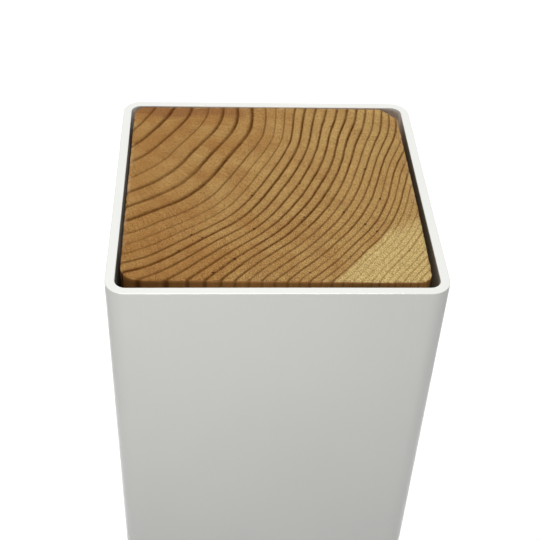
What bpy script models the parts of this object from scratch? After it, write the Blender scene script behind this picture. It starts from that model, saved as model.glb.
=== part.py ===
# Square white post sleeve standing over a sawn timber post, cut square to about a metre.
# Metres, +Z up. The origin is the centre of the sleeve's foot; the front face looks along -Y.

import math

import bmesh
import bpy
from mathutils import Matrix, Vector

# Sleeve: an extruded square tube for a nominal six inch post.
SLEEVE_WIDTH = 0.1524
SLEEVE_LENGTH = 1.0
SLEEVE_WALL = 0.00435
INNER_CORNER_RADIUS = 0.0052
RIM_EASE = 0.0004
RIM_EASE_STEPS = 2

# Timber: a dressed post that stands loose in the sleeve, close to its back wall, with its top a hair
# below the rim.
FRONT_GAP = 0.0036
BACK_GAP = 0.0004
LEFT_GAP_SHARE = 0.4
TIMBER_CORNER_RADIUS = 0.0065
TIMBER_TOP_RECESS = 0.0003

CORNER_STEPS = 12

INNER_WIDTH = SLEEVE_WIDTH - 2 * SLEEVE_WALL
OUTER_CORNER_RADIUS = INNER_CORNER_RADIUS + SLEEVE_WALL
TIMBER_PLAY = FRONT_GAP + BACK_GAP
TIMBER_WIDTH = INNER_WIDTH - TIMBER_PLAY


def clear_scene():
    for old in list(bpy.data.objects):
        bpy.data.objects.remove(old, do_unlink=True)


def material(name, colour, roughness, metallic=0.0):
    made = bpy.data.materials.new(name)
    made.use_nodes = True
    shader = made.node_tree.nodes["Principled BSDF"]
    shader.inputs["Base Color"].default_value = (*colour, 1.0)
    shader.inputs["Roughness"].default_value = roughness
    shader.inputs["Metallic"].default_value = metallic
    return made


def rounded_square(width, radius, steps):
    """Corner points of a square outline with round corners, anticlockwise seen from above."""
    centre = width / 2 - radius
    points = []
    for quarter in range(4):
        start = quarter * math.pi / 2
        middle = start + math.pi / 4
        corner = Vector((math.copysign(centre, math.cos(middle)), math.copysign(centre, math.sin(middle))))
        for step in range(steps + 1):
            angle = start + math.pi / 2 * step / steps
            points.append(corner + radius * Vector((math.cos(angle), math.sin(angle))))
    return points


def edge_loop(bm, outline, height):
    """A closed loop of vertices and edges at one height."""
    verts = [bm.verts.new((point.x, point.y, height)) for point in outline]
    return [bm.edges.new((a, b)) for a, b in zip(verts, verts[1:] + verts[:1])]


def raise_faces(bm, faces, length):
    """Extrudes flat faces upwards into a closed solid."""
    raised = bmesh.ops.extrude_face_region(bm, geom=faces, use_keep_orig=True)
    moved = [item for item in raised["geom"] if isinstance(item, bmesh.types.BMVert)]
    bmesh.ops.translate(bm, verts=moved, vec=(0, 0, length))
    bmesh.ops.recalc_face_normals(bm, faces=bm.faces)


def finished_object(name, bm, made_of):
    mesh = bpy.data.meshes.new(name)
    bm.to_mesh(mesh)
    bm.free()
    mesh.materials.append(made_of)
    mesh.shade_smooth()
    mesh.set_sharp_from_angle(angle=math.radians(30))
    made = bpy.data.objects.new(name, mesh)
    bpy.context.scene.collection.objects.link(made)
    return made


def ease_rims(made):
    """Breaks the edges of the two sawn ends."""
    bevel = made.modifiers.new("rim ease", "BEVEL")
    bevel.width = RIM_EASE
    bevel.segments = RIM_EASE_STEPS
    bevel.limit_method = "ANGLE"
    bevel.angle_limit = math.radians(60)


def make_sleeve():
    bm = bmesh.new()
    outer = edge_loop(bm, rounded_square(SLEEVE_WIDTH, OUTER_CORNER_RADIUS, CORNER_STEPS), 0)
    inner = edge_loop(bm, rounded_square(INNER_WIDTH, INNER_CORNER_RADIUS, CORNER_STEPS), 0)
    foot = bmesh.ops.bridge_loops(bm, edges=outer + inner)["faces"]
    raise_faces(bm, foot, SLEEVE_LENGTH)
    made = finished_object("sleeve", bm, material("white vinyl", (0.86, 0.86, 0.84), 0.35))
    ease_rims(made)
    return made


def make_timber_post():
    bm = bmesh.new()
    outline = rounded_square(TIMBER_WIDTH, TIMBER_CORNER_RADIUS, CORNER_STEPS)
    foot = bm.faces.new([bm.verts.new((point.x, point.y, 0)) for point in outline])
    raise_faces(bm, [foot], SLEEVE_LENGTH - TIMBER_TOP_RECESS)
    made = finished_object("timber_post", bm, material("sawn timber", (0.42, 0.25, 0.11), 0.8))
    across = TIMBER_PLAY * (LEFT_GAP_SHARE - 0.5)
    back = (FRONT_GAP - BACK_GAP) / 2
    made.matrix_world = Matrix.Translation((across, back, 0))
    return made


clear_scene()
make_sleeve()
make_timber_post()
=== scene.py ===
# Dresses the post sleeve: a satin white extruded sleeve over a sawn timber post, on a pale studio floor.
# Metres, +Z up. The outer sizes are read from the frame, and both pieces stay inside the solids' boxes.

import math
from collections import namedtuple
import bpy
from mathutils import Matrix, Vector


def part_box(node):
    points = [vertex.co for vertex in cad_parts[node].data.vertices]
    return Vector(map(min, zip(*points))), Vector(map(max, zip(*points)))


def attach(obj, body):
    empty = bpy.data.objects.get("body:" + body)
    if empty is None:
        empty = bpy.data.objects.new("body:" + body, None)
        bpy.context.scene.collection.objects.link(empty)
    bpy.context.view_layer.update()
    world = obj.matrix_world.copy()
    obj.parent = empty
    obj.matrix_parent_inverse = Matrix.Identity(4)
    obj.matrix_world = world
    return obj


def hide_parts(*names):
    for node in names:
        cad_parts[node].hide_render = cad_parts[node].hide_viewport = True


bl_info = {
    "name": "Post Sleeve",
    "version": (1, 0, 0),
    "blender": (4, 5, 0),
    "location": "View3D > Sidebar > Post Sleeve",
    "description": "Dresses a white post sleeve and the sawn timber that it stands over",
    "category": "Add Mesh",
}

import bpy
from mathutils import Quaternion, Vector

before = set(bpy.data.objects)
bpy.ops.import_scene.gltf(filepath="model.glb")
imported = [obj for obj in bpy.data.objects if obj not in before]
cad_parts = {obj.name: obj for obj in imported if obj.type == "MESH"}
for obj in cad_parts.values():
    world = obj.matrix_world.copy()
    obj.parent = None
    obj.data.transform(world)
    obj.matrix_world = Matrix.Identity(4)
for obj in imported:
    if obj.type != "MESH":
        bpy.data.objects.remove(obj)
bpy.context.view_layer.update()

# What the solids say.
SLEEVE_LOW, SLEEVE_HIGH = (Vector(corner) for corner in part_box("sleeve"))
TIMBER_LOW, TIMBER_HIGH = (Vector(corner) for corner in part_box("timber_post"))
SLEEVE_WIDTH = SLEEVE_HIGH.x - SLEEVE_LOW.x
SLEEVE_LENGTH = SLEEVE_HIGH.z - SLEEVE_LOW.z
TIMBER_WIDTH = TIMBER_HIGH.x - TIMBER_LOW.x
TIMBER_LENGTH = TIMBER_HIGH.z - TIMBER_LOW.z
TIMBER_MIDDLE = (TIMBER_LOW + TIMBER_HIGH) / 2

# The sleeve's section, as in the solids.
SLEEVE_WALL = 0.00435
INNER_CORNER_RADIUS = 0.0052
RIM_EASE = 0.0004
INNER_HALF = SLEEVE_WIDTH / 2 - SLEEVE_WALL

# Growth rings: ovals round a pith that lies outside the timber, past its back left corner, pushed
# about by slow sways of the trunk. Lengths are in metres and angles in degrees.
Sway = namedtuple("Sway", "amount length heading phase push")
SWAYS = (
    Sway(amount=0.0021, length=0.0805, heading=255.7, phase=17.6, push=87.1),
    Sway(amount=0.0033, length=0.0652, heading=45.3, phase=-31.5, push=-126.9),
    Sway(amount=0.0009, length=0.1086, heading=-9.6, phase=61.6, push=-7.0),
)
PITH_X = -0.1014
PITH_Y = 0.0780
OVAL = 1.196
OVAL_TILT = math.radians(-11.0)

# The tree's pace: the width of a year's ring when young, grown and old, and where it slows.
YOUNG_RING = 0.008795
GROWN_RING = 0.005146
OLD_RING = 0.002747
FIRST_SLOWING = 0.10325
FIRST_EASING = 0.0092
SECOND_SLOWING = 0.16883
SECOND_EASING = 0.0524
YEARS_BEFORE = 4.777
HEARTWOOD_RADIUS = 0.1825
YOUNG_WOOD_ENDS = (0.085, 0.112)

# How dark a year's late wood is: a mean, two cycles of better and worse years, and chance, whose
# seed comes last. Phases are in degrees.
Cycle = namedtuple("Cycle", "years phase amount")
LONG_CYCLE = Cycle(years=34.0, phase=70.4, amount=0.201)
SHORT_CYCLE = Cycle(years=4.6, phase=40.7, amount=0.121)
MEAN_STRENGTH = 0.495
CHANCE_STRENGTH = 0.558
YEAR_SEED = 282059.0

# The timber's own outline: what its faces stand in by, and how rough they are.
BACK_STEP = 0.0003
BACK_FALL = 0.0006
FRONT_IN_AT_RIGHT = 0.0007
FRONT_IN_AT_LEFT = 0.0004
RAGGED_DEPTH = 0.0007
CHIP_DEPTH = 0.0005


class Value:
    """A node's output that adds Math nodes where it is used in an expression."""

    def __init__(self, tree, socket):
        self.tree = tree
        self.socket = socket

    def apply(self, operation, *others):
        operands = dict(enumerate((self,) + others))
        return self.tree.add("ShaderNodeMath", {"operation": operation}, operands)

    def before(self, operation, first):
        return self.tree.add("ShaderNodeMath", {"operation": operation}, {0: first, 1: self})

    def __add__(self, other):
        return self.apply("ADD", other)

    def __radd__(self, other):
        return self.before("ADD", other)

    def __sub__(self, other):
        return self.apply("SUBTRACT", other)

    def __rsub__(self, other):
        return self.before("SUBTRACT", other)

    def __mul__(self, other):
        return self.apply("MULTIPLY", other)

    def __rmul__(self, other):
        return self.before("MULTIPLY", other)

    def __truediv__(self, other):
        return self.apply("DIVIDE", other)

    def __rtruediv__(self, other):
        return self.before("DIVIDE", other)

    def __pow__(self, other):
        return self.apply("POWER", other)

    def rise(self, low, high):
        """0 below low and 1 above high, with a smooth step between them."""
        settings = {"interpolation_type": "SMOOTHSTEP"}
        return self.tree.add("ShaderNodeMapRange", settings, {0: self, 1: low, 2: high, 3: 0.0, 4: 1.0})

    def fall(self, low, high):
        """1 below low and 0 above high, with a smooth step between them."""
        settings = {"interpolation_type": "SMOOTHSTEP"}
        return self.tree.add("ShaderNodeMapRange", settings, {0: self, 1: low, 2: high, 3: 1.0, 4: 0.0})


class Tree:
    """Adds the nodes of one shader or geometry tree."""

    def __init__(self, node_tree):
        self.node_tree = node_tree
        self.nodes = node_tree.nodes
        self.nodes.clear()

    def add(self, kind, settings=None, sockets=None, outlet=0):
        """Adds a node: its settings first, then its sockets' values or links. Gives one output."""
        node = self.nodes.new(kind)
        for name, setting in (settings or {}).items():
            setattr(node, name, setting)
        for name, value in (sockets or {}).items():
            if isinstance(value, Value):
                self.node_tree.links.new(value.socket, node.inputs[name])
            else:
                node.inputs[name].default_value = value
        return Value(self, node.outputs[outlet]) if node.outputs else None

    def split(self, vector):
        """The three coordinates of a vector."""
        parts = self.add("ShaderNodeSeparateXYZ", sockets={0: vector})
        return tuple(Value(self, socket) for socket in parts.socket.node.outputs)

    def vector(self, x, y, z):
        return self.add("ShaderNodeCombineXYZ", sockets={0: x, 1: y, 2: z})

    def mix(self, factor, first, second):
        """Blends two colours."""
        settings = {"data_type": "RGBA", "clamp_factor": True}
        return self.add("ShaderNodeMix", settings, {0: factor, 6: first, 7: second}, outlet=2)

    def noise(self, place, scale, detail=2.0, roughness=0.5):
        """Soft noise about 0.5, with scale features in a metre."""
        sockets = {"Vector": place, "Scale": scale, "Detail": detail, "Roughness": roughness}
        return self.add("ShaderNodeTexNoise", {"noise_dimensions": "3D"}, sockets)

    def spread(self, place, x, y, z):
        """A place stretched by a factor along each axis."""
        return self.add("ShaderNodeVectorMath", {"operation": "MULTIPLY"}, {0: place, 1: (x, y, z)})

    def spots(self, place, scale):
        """The distance from scattered points, in metres, and a random share of each point's own."""
        settings = {"voronoi_dimensions": "3D"}
        near = self.add("ShaderNodeTexVoronoi", settings, {"Vector": place, "Scale": scale})
        chance = Value(self, near.socket.node.outputs["Color"])
        return near / scale, self.split(chance)[0]


def shader_tree(name):
    """A new material's tree with the place on the object, in metres."""
    made = bpy.data.materials.new(name)
    made.use_nodes = True
    tree = Tree(made.node_tree)
    place = tree.add("ShaderNodeTexCoord", outlet="Object")
    return made, tree, place


def finish_shader(tree, colour, roughness, height, constants):
    """Ends a material in a Principled shader, with its relief as a height in metres."""
    normal = tree.add("ShaderNodeBump", sockets={"Strength": 1.0, "Distance": 1.0, "Height": height})
    sockets = {"Base Color": colour, "Roughness": roughness, "Normal": normal, **constants}
    surface = tree.add("ShaderNodeBsdfPrincipled", sockets=sockets)
    tree.add("ShaderNodeOutputMaterial", sockets={"Surface": surface})


class Grain:
    """The growth rings at a place in the timber, for a shader or a geometry tree."""

    WANDER = 0.010
    WANDER_SCALE = 5.0
    RIPPLE = 0.0013
    RIPPLE_SCALE = 55.0

    def __init__(self, tree, place):
        x, y, z = tree.split(place)
        depth = TIMBER_HIGH.z - z
        slow = tree.noise(tree.spread(place, 1.0, 1.0, 0.35), self.WANDER_SCALE, 1.0) - 0.5
        wander = slow * depth * self.WANDER
        short_waves = tree.noise(tree.spread(place, 1.0, 1.0, 0.08), self.RIPPLE_SCALE, 1.5) - 0.5
        ripple = short_waves * self.RIPPLE
        moved_x = x + wander
        moved_y = y - wander
        for sway in SWAYS:
            heading = math.radians(sway.heading)
            push = math.radians(sway.push)
            turn = 2 * math.pi / sway.length
            along = x * (turn * math.cos(heading)) + y * (turn * math.sin(heading))
            wave = (along + math.radians(sway.phase)).apply("SINE")
            moved_x = moved_x + wave * (sway.amount * math.cos(push))
            moved_y = moved_y + wave * (sway.amount * math.sin(push))
        from_x = moved_x - PITH_X
        from_y = moved_y - PITH_Y
        long = from_x * math.cos(OVAL_TILT) + from_y * math.sin(OVAL_TILT)
        short = (from_y * math.cos(OVAL_TILT) - from_x * math.sin(OVAL_TILT)) / OVAL
        self.radius = (long * long + short * short).apply("SQRT") + ripple
        self.bearing = short.apply("ARCTAN2", long)
        first = (self.radius - FIRST_SLOWING).apply("SMOOTH_MAX", 0.0, FIRST_EASING)
        second = (self.radius - SECOND_SLOWING).apply("SMOOTH_MAX", 0.0, SECOND_EASING)
        first_gain = 1 / GROWN_RING - 1 / YOUNG_RING
        second_gain = 1 / OLD_RING - 1 / GROWN_RING
        self.years = self.radius / YOUNG_RING + first * first_gain + second * second_gain - YEARS_BEFORE
        self.year = (self.years + 0.5).apply("FLOOR")
        slowed = self.radius.rise(FIRST_SLOWING - FIRST_EASING, FIRST_SLOWING + FIRST_EASING)
        aged = self.radius.rise(SECOND_SLOWING - SECOND_EASING, SECOND_SLOWING + SECOND_EASING)
        pace = slowed * first_gain + aged * second_gain + 1 / YOUNG_RING
        self.ring_width = 1.0 / pace
        self.off = (self.years - self.year) * self.ring_width
        self.strength = self.year_strength(tree)
        self.x, self.y, self.z = x, y, z

    def year_strength(self, tree):
        """How dark a year's late wood is, mostly between 0 and 1."""
        settings = {"noise_dimensions": "1D"}
        chance = tree.add("ShaderNodeTexWhiteNoise", settings, {"W": self.year + YEAR_SEED})
        steady = MEAN_STRENGTH + self.cycle(LONG_CYCLE) + self.cycle(SHORT_CYCLE)
        return steady + (chance - 0.5) * CHANCE_STRENGTH

    def cycle(self, cycle):
        """One cycle of better and worse years."""
        turned = self.year * (2 * math.pi / cycle.years) - math.radians(cycle.phase)
        return turned.apply("SINE") * cycle.amount

    def late_wood(self, blur=1.0):
        """Up to 1 on a ring's dark line: it deepens outwards and stops short, darkest at the right.

        A dark year's line reaches further in, most of all where rings are wide and young.
        """
        young = self.radius.fall(*YOUNG_WOOD_ENDS)
        room = (self.ring_width * 100.0 + 0.37) * (young * 0.55 + 1.0)
        reach = (self.strength * 0.0013 + 0.0004) * room * blur
        inner = self.off.rise(0.0 - reach, reach * -0.05)
        outer = self.off.fall(0.0001, 0.0003 + 0.0003 * blur + reach * 0.15)
        turn = self.bearing.rise(-0.8, -0.05) * 0.26 + 0.90
        darkness = (self.strength * 0.66 + 0.38) * turn * (young * 0.14 + 1.0)
        return inner * outer * darkness.apply("MINIMUM", 1.0)


def vinyl_material(settings):
    """White vinyl with faint clouds, die lines, a few specks, rubbed patches and painted shade inside."""
    made, tree, place = shader_tree("satin white vinyl")
    cloud = tree.noise(place, 14.0, 3.0) - 0.5
    die_lines = tree.noise(tree.spread(place, 1.0, 1.0, 0.004), 420.0, 3.0, 0.6) - 0.5
    peel = tree.noise(place, 160.0, 1.0) - 0.5
    speck_distance, speck_chance = tree.spots(place, 55.0)
    speck = speck_distance.fall(0.00018, 0.0004) * speck_chance.rise(0.955, 0.96)
    rub = tree.noise(tree.spread(place, 1.0, 1.0, 0.25), 38.0, 4.0, 0.65).rise(0.56, 0.74)
    plain = tuple(settings.colour) + (1.0,)
    dull = tuple(0.965 * share for share in settings.colour) + (1.0,)
    dirt = (0.34, 0.32, 0.29, 1.0)
    colour = tree.mix(cloud * 1.4 + 0.5, plain, dull)
    colour = tree.mix(speck * 0.55, colour, dirt)
    x, y, z = tree.split(place)
    # Colour of the painted shade on the inner wall, in the gap round the timber.
    gap_shade_colour = (0.150, 0.162, 0.105, 1.0)
    colour = tree.mix(painted_gap_shade(x, y, z), colour, gap_shade_colour)
    roughness = settings.roughness + cloud * 0.06 + rub * 0.07 + speck * 0.2
    height = die_lines * 0.000022 + peel * 0.000012
    constants = {"IOR": 1.53, "Coat Weight": 0.6, "Coat Roughness": 0.10}
    finish_shader(tree, colour, roughness, height, constants)
    return made


def painted_gap_shade(x, y, z):
    """Painted shade on the inner wall from just below the rim, where the gap round the timber lies in
    shade: weaker at the left, and none at the back.
    """
    from_middle = x.apply("ABSOLUTE").apply("MAXIMUM", y.apply("ABSOLUTE"))
    inside = from_middle.fall(INNER_HALF - 0.0001, INNER_HALF + 0.0001)
    below_rim = z.fall(SLEEVE_LENGTH - 0.0011, SLEEVE_LENGTH - 0.0005)
    before_back = y.fall(0.048, 0.068)
    amount = x.rise(-0.050, 0.050) * 0.42 + 0.46
    return inside * below_rim * before_back * amount


def timber_material():
    """Sawn softwood: rings, heartwood and sapwood on its ends, stripes down its faces."""
    made, tree, place = shader_tree("sawn timber")
    grain = Grain(tree, place)
    normal = tree.add("ShaderNodeNewGeometry", outlet="Normal")
    end = tree.split(normal)[2].apply("ABSOLUTE").rise(0.5, 0.8)

    young_heart = (0.340, 0.174, 0.053, 1.0)
    grown_heart = (0.421, 0.258, 0.091, 1.0)
    red_heart = (0.268, 0.126, 0.045, 1.0)
    sap_colour = (0.552, 0.408, 0.166, 1.0)
    late_colour = (0.086, 0.025, 0.0003, 1.0)
    late_sap = (0.240, 0.125, 0.030, 1.0)
    pit_colour = (0.040, 0.013, 0.003, 1.0)
    torn_colour = (0.620, 0.430, 0.250, 1.0)

    # Heartwood pales outwards, with red clouds and a stain at the back left, and is a little paler
    # at the back right. Past its last ring it turns to sapwood, most of all at the front.
    along_grain = tree.spread(place, 1.0, 1.0, 0.06)
    cloud = tree.noise(along_grain, 60.0, 3.0, 0.55)
    outwards = grain.radius.rise(0.035, 0.165)
    front_left = grain.y.fall(-0.060, 0.010) * grain.x.fall(-0.045, 0.050)
    golden = outwards * 0.9 + (cloud - 0.5) * 2.4 - front_left * 0.85 + 0.14
    heart = tree.mix(golden, young_heart, grown_heart)
    blush = tree.noise(tree.spread(along_grain, 1.0, 0.6, 1.0), 110.0, 2.0).rise(0.48, 0.66)
    stain_edge = grain.y + (cloud - 0.5) * 0.014
    stain = stain_edge.rise(0.059, 0.065) * grain.x.fall(-0.030, 0.005)
    heart = tree.mix(stain + blush * 0.28, heart, red_heart)
    sap_edge = grain.radius.rise(HEARTWOOD_RADIUS - 0.0012, HEARTWOOD_RADIUS + 0.0012)
    sap_top = grain.y + (cloud - 0.5) * 0.016 - grain.x * 0.25
    sap = sap_edge * (sap_top.fall(-0.050, -0.036) * 0.85 + 0.15)
    back_right = grain.y.rise(0.0, 0.055) * grain.x.rise(-0.020, 0.045)
    body = tree.mix(sap + back_right * 0.13, heart, sap_colour)

    # Fibres, pores and rays mottle the wood, and it darkens a little before each dark line.
    round_trunk = tree.vector(grain.bearing * 0.12, grain.radius * 0.045, grain.z * 0.02)
    rays = tree.noise(round_trunk, 1500.0, 2.0) - 0.5
    pores = tree.noise(along_grain, 2100.0, 1.0, 0.5) - 0.5
    mottle = tree.noise(along_grain, 700.0, 2.0, 0.6) - 0.5
    turning = (grain.off / grain.ring_width).rise(-0.55, 0.0) * grain.off.fall(-0.0002, 0.0003)
    coarse = outwards * 0.6 + 0.5
    shade = rays * 1.3 + (pores * 5.6 + mottle * 2.0) * coarse + turning * 0.18 + 0.38
    deep_body = tree.mix(0.50, body, late_colour)
    pale_body = tree.add("ShaderNodeVectorMath", {"operation": "SCALE"}, {0: body, 3: 1.25})
    body = tree.mix(shade, pale_body, deep_body)

    # Dark lines fade here and there along their length and break into beads.
    fade = tree.noise(along_grain, 55.0, 1.0).rise(0.25, 0.60) * 0.22 + 0.78
    beads = tree.noise(along_grain, 420.0, 1.0).rise(0.25, 0.60) * 0.18 + 0.82
    line = grain.late_wood() * fade * beads
    late = tree.mix(sap * 0.9, late_colour, late_sap)
    colour = tree.mix(line * (1.0 - sap * 0.10), body, late)

    # Small dark pits, most of them on the dark lines of the sawn ends.
    flat_place = tree.spread(place, 1.0, 1.0, 0.0)
    pit_distance, pit_chance = tree.spots(flat_place, 210.0)
    pit_size = pit_chance * 0.0007
    pit = pit_distance.fall(pit_size * 0.4, pit_size + 0.00025) * pit_chance.rise(0.66, 0.72)
    pit = pit * grain.late_wood(1.6).rise(0.15, 0.5) * end
    colour = tree.mix(pit * 0.9, colour, pit_colour)

    # Torn fibres pale the arris of the sawn ends in places.
    rim_distance = arris_distance(grain.x, grain.y)
    torn = rim_distance.fall(0.0004, 0.0022) * tree.noise(place, 210.0, 2.0).rise(0.48, 0.64) * end
    colour = tree.mix(torn * 0.38, colour, torn_colour)

    # The rings run down the four faces as stripes, and painted shade darkens the faces at the left.
    side_streaks = tree.noise(tree.spread(place, 1.0, 1.0, 0.012), 620.0, 3.0, 0.6) - 0.5
    pale_side = (0.730, 0.370, 0.125, 1.0)
    deep_side = (0.510, 0.230, 0.076, 1.0)
    side_body = tree.mix(side_streaks * 1.2 + 0.5, pale_side, deep_side)
    # Painted shade: less light falls on the faces at the left, so their colour is darkened there.
    left_face_shade = grain.x.fall(-0.068, -0.010)
    side_colour = tree.mix(line * 0.50 + left_face_shade * 0.60, side_body, late_colour)
    colour = tree.mix(end, side_colour, colour)

    roughness = 0.70 + mottle * 0.20 - line * 0.10 + pit * 0.2
    height = line * 0.00006 + pores * 0.00007 + rays * 0.00005 - pit * 0.00045
    height = height * end + side_streaks * 0.00012 * (1.0 - end)
    finish_shader(tree, colour, roughness, height, {"IOR": 1.45, "Specular IOR Level": 0.04})
    return made


def arris_distance(x, y):
    """The distance in from the nearest of the timber's four faces."""
    from_side = TIMBER_WIDTH / 2 - (x - TIMBER_MIDDLE.x).apply("ABSOLUTE")
    from_front = TIMBER_WIDTH / 2 - (y - TIMBER_MIDDLE.y).apply("ABSOLUTE")
    return from_side.apply("MINIMUM", from_front)


def floor_material():
    """A matt pale floor with hardly any pattern."""
    made, tree, place = shader_tree("pale studio floor")
    cloud = tree.noise(place, 1.6, 2.0)
    colour = tree.mix(cloud, (0.93, 0.93, 0.93, 1.0), (0.95, 0.95, 0.95, 1.0))
    finish_shader(tree, colour, 0.85 + cloud * 0.05, cloud * 0.0001, {"Specular IOR Level": 0.1})
    return made


def geometry_tree(name, sizes):
    """A geometry node group with one named size input for each entry."""
    group = bpy.data.node_groups.new(name, "GeometryNodeTree")
    group.interface.new_socket("Geometry", in_out="INPUT", socket_type="NodeSocketGeometry")
    for size in sizes:
        group.interface.new_socket(size, in_out="INPUT", socket_type="NodeSocketFloat")
    group.interface.new_socket("Geometry", in_out="OUTPUT", socket_type="NodeSocketGeometry")
    tree = Tree(group)
    given = tree.add("NodeGroupInput").socket.node
    inputs = {size: Value(tree, given.outputs[size]) for size in sizes}
    return group, tree, inputs


def finish_geometry(tree, mesh, material):
    """Ends a group with real geometry that carries its material."""
    real = tree.add("GeometryNodeRealizeInstances", sockets={"Geometry": mesh})
    painted = tree.add("GeometryNodeSetMaterial", sockets={"Geometry": real, "Material": material})
    tree.add("NodeGroupOutput", sockets={"Geometry": painted})


def piece_from_tree(name, group, sizes, sharp_angle):
    """Runs a geometry group on an empty mesh and keeps the result as a plain mesh piece."""
    seed = bpy.data.objects.new(name + " seed", bpy.data.meshes.new(name + " seed"))
    bpy.context.scene.collection.objects.link(seed)
    modifier = seed.modifiers.new(group.name, "NODES")
    modifier.node_group = group
    for item in group.interface.items_tree:
        if item.in_out == "INPUT" and item.name in sizes:
            modifier[item.identifier] = sizes[item.name]
    bpy.context.view_layer.update()
    evaluated = seed.evaluated_get(bpy.context.evaluated_depsgraph_get())
    mesh = bpy.data.meshes.new_from_object(evaluated)
    bpy.data.objects.remove(seed, do_unlink=True)
    if not mesh.polygons:
        raise RuntimeError(name + " came out empty")
    mesh.name = name
    mesh.shade_smooth()
    mesh.set_sharp_from_angle(angle=sharp_angle)
    piece = bpy.data.objects.new(name, mesh)
    bpy.context.scene.collection.objects.link(piece)
    return piece


def sleeve_tree(material):
    """A wall's upright section, swept round a square path with round corners."""
    names = ("Width", "Length", "Wall", "Inner Radius", "Ease", "Bow", "Saw Depth")
    group, tree, size = geometry_tree("extruded sleeve", names)
    path_width = size["Width"] - size["Wall"]
    square = tree.add(
        "GeometryNodeCurvePrimitiveQuadrilateral", sockets={"Width": path_width, "Height": path_width}
    )
    path_radius = size["Inner Radius"] + size["Wall"] / 2
    path = tree.add(
        "GeometryNodeFilletCurve", {"mode": "POLY"}, {"Curve": square, "Radius": path_radius, "Count": 14}
    )
    spacing = 0.001
    path = tree.add("GeometryNodeResampleCurve", {"mode": "LENGTH"}, {"Curve": path, "Length": spacing})
    section = tree.add(
        "GeometryNodeCurvePrimitiveQuadrilateral", sockets={"Width": size["Wall"], "Height": size["Length"]}
    )
    section = tree.add("GeometryNodeSubdivideCurve", sockets={"Curve": section, "Cuts": 9})
    section = tree.add(
        "GeometryNodeFilletCurve",
        {"mode": "POLY"},
        {"Curve": section, "Radius": size["Ease"], "Count": 3, "Limit Radius": True},
    )
    swept = tree.add("GeometryNodeCurveToMesh", sockets={"Curve": path, "Profile Curve": section})
    lift = tree.vector(0.0, 0.0, size["Length"] / 2)
    raised = tree.add("GeometryNodeSetPosition", sockets={"Geometry": swept, "Offset": lift})
    place = tree.add("GeometryNodeInputPosition")
    x, y, z = tree.split(place)
    half_turn = math.pi / size["Width"]
    across_x = (x * half_turn).apply("COSINE") * size["Bow"]
    across_y = (y * half_turn).apply("COSINE") * size["Bow"]
    on_side = (x.apply("ABSOLUTE") - y.apply("ABSOLUTE")).apply("GREATER_THAN", 0.0)
    slow = 0.6 + tree.noise(tree.spread(place, 1.0, 1.0, 0.5), 9.0, 1.0) * 0.8
    push_x = x.apply("SIGN") * across_y * on_side * slow
    push_y = y.apply("SIGN") * across_x * (1.0 - on_side) * slow
    rim = z.rise(0.9998 * SLEEVE_LENGTH, SLEEVE_LENGTH)
    saw_marks = tree.noise(tree.spread(place, 0.35, 1.0, 0.0), 640.0, 2.0)
    cut = (saw_marks * size["Saw Depth"]) * rim
    offset = tree.vector(0.0 - push_x, 0.0 - push_y, 0.0 - cut)
    bowed = tree.add("GeometryNodeSetPosition", sockets={"Geometry": raised, "Offset": offset})
    finish_geometry(tree, bowed, material)
    return group


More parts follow.
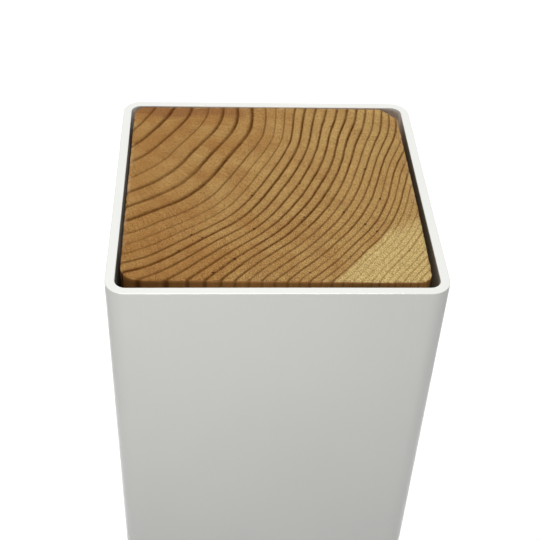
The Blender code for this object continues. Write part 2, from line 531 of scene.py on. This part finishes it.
def timber_tree(material):
    """A block of even squares, drawn to the timber's outline, with the rings standing up on its ends."""
    names = ("Width", "Length", "Corner", "Corner Change", "Taper", "Arris", "Relief", "Spacing")
    group, tree, size = geometry_tree("sawn timber", names)
    across = (size["Width"] / size["Spacing"]).apply("ROUND")
    block_size = tree.vector(size["Width"], size["Width"], size["Length"])
    block = tree.add(
        "GeometryNodeMeshCube",
        sockets={"Size": block_size, "Vertices X": across, "Vertices Y": across, "Vertices Z": 22},
    )
    place = tree.add("GeometryNodeInputPosition")
    x, y, z = tree.split(place)
    half = size["Width"] / 2

    # Levels gather towards both ends.
    level = z / (size["Length"] / 2)
    gathered = level.apply("SIGN") * (1.0 - (1.0 - level.apply("ABSOLUTE")) ** 2.6) * (size["Length"] / 2)

    # Outline: corners of unlike roundness with the back right one cut straight, the front face set
    # back on the left, and a back edge that is stepped and falls away to the right.
    share_x = x / half
    share_y = y / half
    corner = size["Corner"] - size["Corner Change"] * share_x * share_y
    straight = half - corner
    over_x = (x.apply("ABSOLUTE") - straight).apply("MAXIMUM", 0.0)
    over_y = (y.apply("ABSOLUTE") - straight).apply("MAXIMUM", 0.0)
    round_reach = (over_x * over_x + over_y * over_y).apply("SQRT")
    flat = share_x.rise(0.5, 0.8) * share_y.rise(0.5, 0.8) * 0.8
    reach = round_reach + ((over_x + over_y) - round_reach) * flat
    reach = reach.apply("MAXIMUM", 0.00001)
    pull = over_x.apply("MAXIMUM", over_y) / reach
    drawn_x = x.apply("SIGN") * (x.apply("ABSOLUTE").apply("MINIMUM", straight) + over_x * pull)
    drawn_y = y.apply("SIGN") * (y.apply("ABSOLUTE").apply("MINIMUM", straight) + over_y * pull)
    narrowing = 1.0 - (share_x.fall(-1.0, 1.0) * size["Taper"] + 0.005) * share_y.fall(-1.0, 0.3)
    step = share_x.fall(-0.16, -0.02) * share_y.rise(0.0, 1.0) * BACK_STEP
    fallen = share_x.rise(0.15, 1.0) * share_y.rise(0.0, 1.0) * BACK_FALL
    drawn_y = drawn_y * narrowing - step - fallen
    front_in = share_y.fall(-1.1, -0.1)
    drawn_x = drawn_x - share_x.rise(0.0, 1.0) * front_in * FRONT_IN_AT_RIGHT
    drawn_x = drawn_x + share_x.fall(-1.0, 0.0) * front_in * FRONT_IN_AT_LEFT

    # Ragged faces, worn arrises and the rings' relief on the sawn ends.
    sawn_place = tree.vector(x, y, gathered)
    rough = tree.noise(tree.spread(sawn_place, 1.0, 1.0, 0.12), 230.0, 3.0, 0.6) - 0.35
    rag = rough * RAGGED_DEPTH
    edge_in = (1.0 - share_x.apply("ABSOLUTE")).apply("MINIMUM", 1.0 - share_y.apply("ABSOLUTE")) * half
    squeeze = 1.0 - rag / half
    drawn_x = drawn_x * squeeze
    drawn_y = drawn_y * squeeze
    end = level.apply("ABSOLUTE").rise(0.995, 0.9999)
    world = tree.vector(drawn_x + TIMBER_MIDDLE.x, drawn_y + TIMBER_MIDDLE.y, gathered + TIMBER_MIDDLE.z)
    grain = Grain(tree, world)
    chip = tree.noise(world, 330.0, 2.0).rise(0.45, 0.75) * CHIP_DEPTH
    kept = share_y.fall(0.90, 0.99) * 0.75 + 0.25
    worn = edge_in.fall(0.0, size["Arris"]) * (size["Arris"] * 0.45 + chip) * kept
    trough = (1.0 - grain.late_wood(1.6)) * size["Relief"]
    fine = tree.noise(world, 420.0, 2.0) * size["Relief"] * 0.5
    sunk = level.apply("SIGN") * (worn + trough + fine) * end
    sunk_z = gathered - sunk + TIMBER_MIDDLE.z
    final = tree.vector(drawn_x + TIMBER_MIDDLE.x, drawn_y + TIMBER_MIDDLE.y, sunk_z)
    shaped = tree.add("GeometryNodeSetPosition", sockets={"Geometry": block, "Position": final})
    finish_geometry(tree, shaped, material)
    return group


def area_light(name, place, aim, width, power):
    """A round soft light at a place that looks at its aim."""
    data = bpy.data.lights.new(name, "AREA")
    data.shape = "DISK"
    data.size = width
    data.energy = power
    lamp = bpy.data.objects.new(name, data)
    lamp.location = place
    lamp.rotation_euler = (Vector(aim) - Vector(place)).to_track_quat("-Z", "Y").to_euler()
    lamp.visible_camera = False
    bpy.context.scene.collection.objects.link(lamp)


class SleeveSettings(bpy.types.PropertyGroup):
    wall: bpy.props.FloatProperty(
        name="Wall",
        description="Thickness of the extruded wall",
        default=SLEEVE_WALL,
        min=0.001,
        subtype="DISTANCE",
    )
    inner_radius: bpy.props.FloatProperty(
        name="Inner Corner",
        description="Radius of the inside corners",
        default=INNER_CORNER_RADIUS,
        min=0.001,
        subtype="DISTANCE",
    )
    ease: bpy.props.FloatProperty(
        name="Rim Ease",
        description="Rounding of the sawn rims",
        default=RIM_EASE,
        min=0.0001,
        subtype="DISTANCE",
    )
    bow: bpy.props.FloatProperty(
        name="Bow",
        description="How far each face sinks at its middle",
        default=0.00012,
        min=0.0,
        subtype="DISTANCE",
    )
    saw_depth: bpy.props.FloatProperty(
        name="Saw Marks",
        description="Depth of the marks on the rims",
        default=0.00004,
        min=0.0,
        subtype="DISTANCE",
    )
    colour: bpy.props.FloatVectorProperty(
        name="Colour",
        description="Colour of the vinyl",
        default=(0.862, 0.868, 0.828),
        subtype="COLOR",
        min=0,
        max=1,
    )
    roughness: bpy.props.FloatProperty(
        name="Roughness",
        description="Roughness of the satin face",
        default=0.38,
        min=0.0,
        max=1.0,
        subtype="FACTOR",
    )


class TimberSettings(bpy.types.PropertyGroup):
    corner: bpy.props.FloatProperty(
        name="Corner",
        description="Mean radius of the eased corners",
        default=0.0076,
        min=0.001,
        subtype="DISTANCE",
    )
    corner_change: bpy.props.FloatProperty(
        name="Corner Change",
        description="How much the corners differ",
        default=-0.0014,
        subtype="DISTANCE",
    )
    taper: bpy.props.FloatProperty(
        name="Taper",
        description="How far the left of the front is set back",
        default=0.021,
        min=0.0,
        max=0.1,
        subtype="FACTOR",
    )
    arris: bpy.props.FloatProperty(
        name="Arris",
        description="Width of the worn arrises",
        default=0.0009,
        min=0.0,
        subtype="DISTANCE",
    )
    relief: bpy.props.FloatProperty(
        name="Ring Relief",
        description="How far early wood lies below the dark lines",
        default=0.00012,
        min=0.0,
        subtype="DISTANCE",
    )
    spacing: bpy.props.FloatProperty(
        name="Spacing",
        description="Width of the mesh's squares",
        default=0.00078,
        min=0.0003,
        subtype="DISTANCE",
    )


class StageSettings(bpy.types.PropertyGroup):
    lens: bpy.props.FloatProperty(
        name="Lens",
        description="Focal length on a 36 mm frame",
        default=70.60,
        min=10.0,
        unit="CAMERA",
    )
    roll: bpy.props.FloatProperty(
        name="Roll",
        description="How far the camera is tipped to one side",
        default=math.radians(2.815),
        subtype="ANGLE",
    )
    key_power: bpy.props.FloatProperty(
        name="Key",
        description="Power of the softbox overhead",
        default=9.8,
        min=0.0,
        unit="POWER",
    )
    fill_power: bpy.props.FloatProperty(
        name="Fill",
        description="Power of the small soft light in front",
        default=0.54,
        min=0.0,
        unit="POWER",
    )
    backdrop_power: bpy.props.FloatProperty(
        name="Backdrop",
        description="Power of the panel over the floor behind",
        default=23.0,
        min=0.0,
        unit="POWER",
    )
    sky_strength: bpy.props.FloatProperty(
        name="Sky",
        description="Strength of the light from all round",
        default=0.515,
        min=0.0,
    )


class POSTSLEEVE_OT_stage(bpy.types.Operator):
    """Make the pale floor, the soft lights and the camera"""

    bl_idname = "post_sleeve.stage"
    bl_label = "Make Stage"

    FLOOR_RADIUS = 30.0
    FLOOR_DROP = 0.0002
    CAMERA_PLACE = (-0.02934, -0.41147, 1.31078)
    CAMERA_AIM = (-0.00363, -0.06037, 1.0)

    def execute(self, context):
        settings = context.scene.post_sleeve_stage
        self.make_floor()
        self.make_sky(context.scene, settings.sky_strength)
        area_light("overhead key", (0.0, 0.40, 2.1), (0.0, 0.30, 0.0), 0.6, settings.key_power)
        area_light("front fill", (-0.08, -0.42, 1.08), (0.0, -0.05, 0.95), 0.16, settings.fill_power)
        area_light("backdrop panel", (0.0, 1.65, 0.85), (0.0, 1.65, 0.0), 2.7, settings.backdrop_power)
        self.make_camera(context.scene, settings)
        context.scene.view_settings.view_transform = "Standard"
        return {"FINISHED"}

    def make_floor(self):
        bpy.ops.mesh.primitive_circle_add(
            vertices=96, radius=self.FLOOR_RADIUS, fill_type="NGON", location=(0, 0, -self.FLOOR_DROP)
        )
        floor = bpy.context.object
        floor.name = "studio_floor"
        floor.data.materials.append(floor_material())

    def make_sky(self, scene, strength):
        """A pale sky: brightest overhead, even at the horizon, and darker in front between the two."""
        world = bpy.data.worlds.new("soft studio")
        world.use_nodes = True
        scene.world = world
        tree = Tree(world.node_tree)
        direction = tree.add("ShaderNodeTexCoord", outlet="Generated")
        away, height = tree.split(direction)[1:]
        wall = tree.mix(away.rise(-0.7, 0.9), (0.12, 0.12, 0.12, 1.0), (0.72, 0.72, 0.72, 1.0))
        lower = tree.mix(height.rise(0.02, 0.22), (0.70, 0.70, 0.70, 1.0), wall)
        colour = tree.mix((height + away * 0.25).rise(0.2, 0.95), lower, (1.0, 1.0, 1.0, 1.0))
        background = tree.add("ShaderNodeBackground", sockets={"Color": colour, "Strength": strength})
        tree.add("ShaderNodeOutputWorld", sockets={"Surface": background})

    def make_camera(self, scene, settings):
        data = bpy.data.cameras.new("camera")
        data.lens = settings.lens
        data.sensor_width = 36.0
        data.clip_start = 0.01
        camera = bpy.data.objects.new("camera", data)
        look = Vector(self.CAMERA_AIM) - Vector(self.CAMERA_PLACE)
        level = look.to_track_quat("-Z", "Y")
        camera.location = self.CAMERA_PLACE
        camera.rotation_euler = (level @ Quaternion((0, 0, 1), settings.roll)).to_euler()
        scene.collection.objects.link(camera)
        scene.camera = camera


class POSTSLEEVE_OT_sleeve(bpy.types.Operator):
    """Make the extruded white sleeve"""

    bl_idname = "post_sleeve.sleeve"
    bl_label = "Make Sleeve"

    def execute(self, context):
        settings = context.scene.post_sleeve_sleeve
        sizes = {
            "Width": SLEEVE_WIDTH,
            "Length": SLEEVE_LENGTH,
            "Wall": settings.wall,
            "Inner Radius": settings.inner_radius,
            "Ease": settings.ease,
            "Bow": settings.bow,
            "Saw Depth": settings.saw_depth,
        }
        group = sleeve_tree(vinyl_material(settings))
        piece = piece_from_tree("white_sleeve", group, sizes, math.radians(15))
        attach(piece, "root")
        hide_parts("sleeve")
        return {"FINISHED"}


class POSTSLEEVE_OT_timber(bpy.types.Operator):
    """Make the sawn timber post that stands in the sleeve"""

    bl_idname = "post_sleeve.timber"
    bl_label = "Make Timber"

    def execute(self, context):
        settings = context.scene.post_sleeve_timber
        sizes = {
            "Width": TIMBER_WIDTH,
            "Length": TIMBER_LENGTH,
            "Corner": settings.corner,
            "Corner Change": settings.corner_change,
            "Taper": settings.taper,
            "Arris": settings.arris,
            "Relief": settings.relief,
            "Spacing": settings.spacing,
        }
        group = timber_tree(timber_material())
        piece = piece_from_tree("sawn_post", group, sizes, math.radians(50))
        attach(piece, "root")
        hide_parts("timber_post")
        return {"FINISHED"}


class POSTSLEEVE_PT_panel(bpy.types.Panel):
    """The steps that dress the post sleeve, in order"""

    bl_idname = "POSTSLEEVE_PT_panel"
    bl_label = "Post Sleeve"
    bl_space_type = "VIEW_3D"
    bl_region_type = "UI"
    bl_category = "Post Sleeve"

    def draw(self, context):
        for operator, group in STEPS:
            box = self.layout.box()
            settings = getattr(context.scene, group)
            for name in settings.bl_rna.properties.keys():
                if name not in {"rna_type", "name"}:
                    box.prop(settings, name)
            box.operator(operator)


STEPS = (
    ("post_sleeve.stage", "post_sleeve_stage"),
    ("post_sleeve.sleeve", "post_sleeve_sleeve"),
    ("post_sleeve.timber", "post_sleeve_timber"),
)

CLASSES = (
    SleeveSettings,
    TimberSettings,
    StageSettings,
    POSTSLEEVE_OT_stage,
    POSTSLEEVE_OT_sleeve,
    POSTSLEEVE_OT_timber,
    POSTSLEEVE_PT_panel,
)


def register():
    for cls in CLASSES:
        bpy.utils.register_class(cls)
    bpy.types.Scene.post_sleeve_stage = bpy.props.PointerProperty(type=StageSettings)
    bpy.types.Scene.post_sleeve_sleeve = bpy.props.PointerProperty(type=SleeveSettings)
    bpy.types.Scene.post_sleeve_timber = bpy.props.PointerProperty(type=TimberSettings)


def unregister():
    del bpy.types.Scene.post_sleeve_timber
    del bpy.types.Scene.post_sleeve_sleeve
    del bpy.types.Scene.post_sleeve_stage
    for cls in reversed(CLASSES):
        bpy.utils.unregister_class(cls)


def main():
    register()
    bpy.ops.post_sleeve.stage()
    bpy.ops.post_sleeve.sleeve()
    bpy.ops.post_sleeve.timber()


if __name__ == "__main__":
    main()
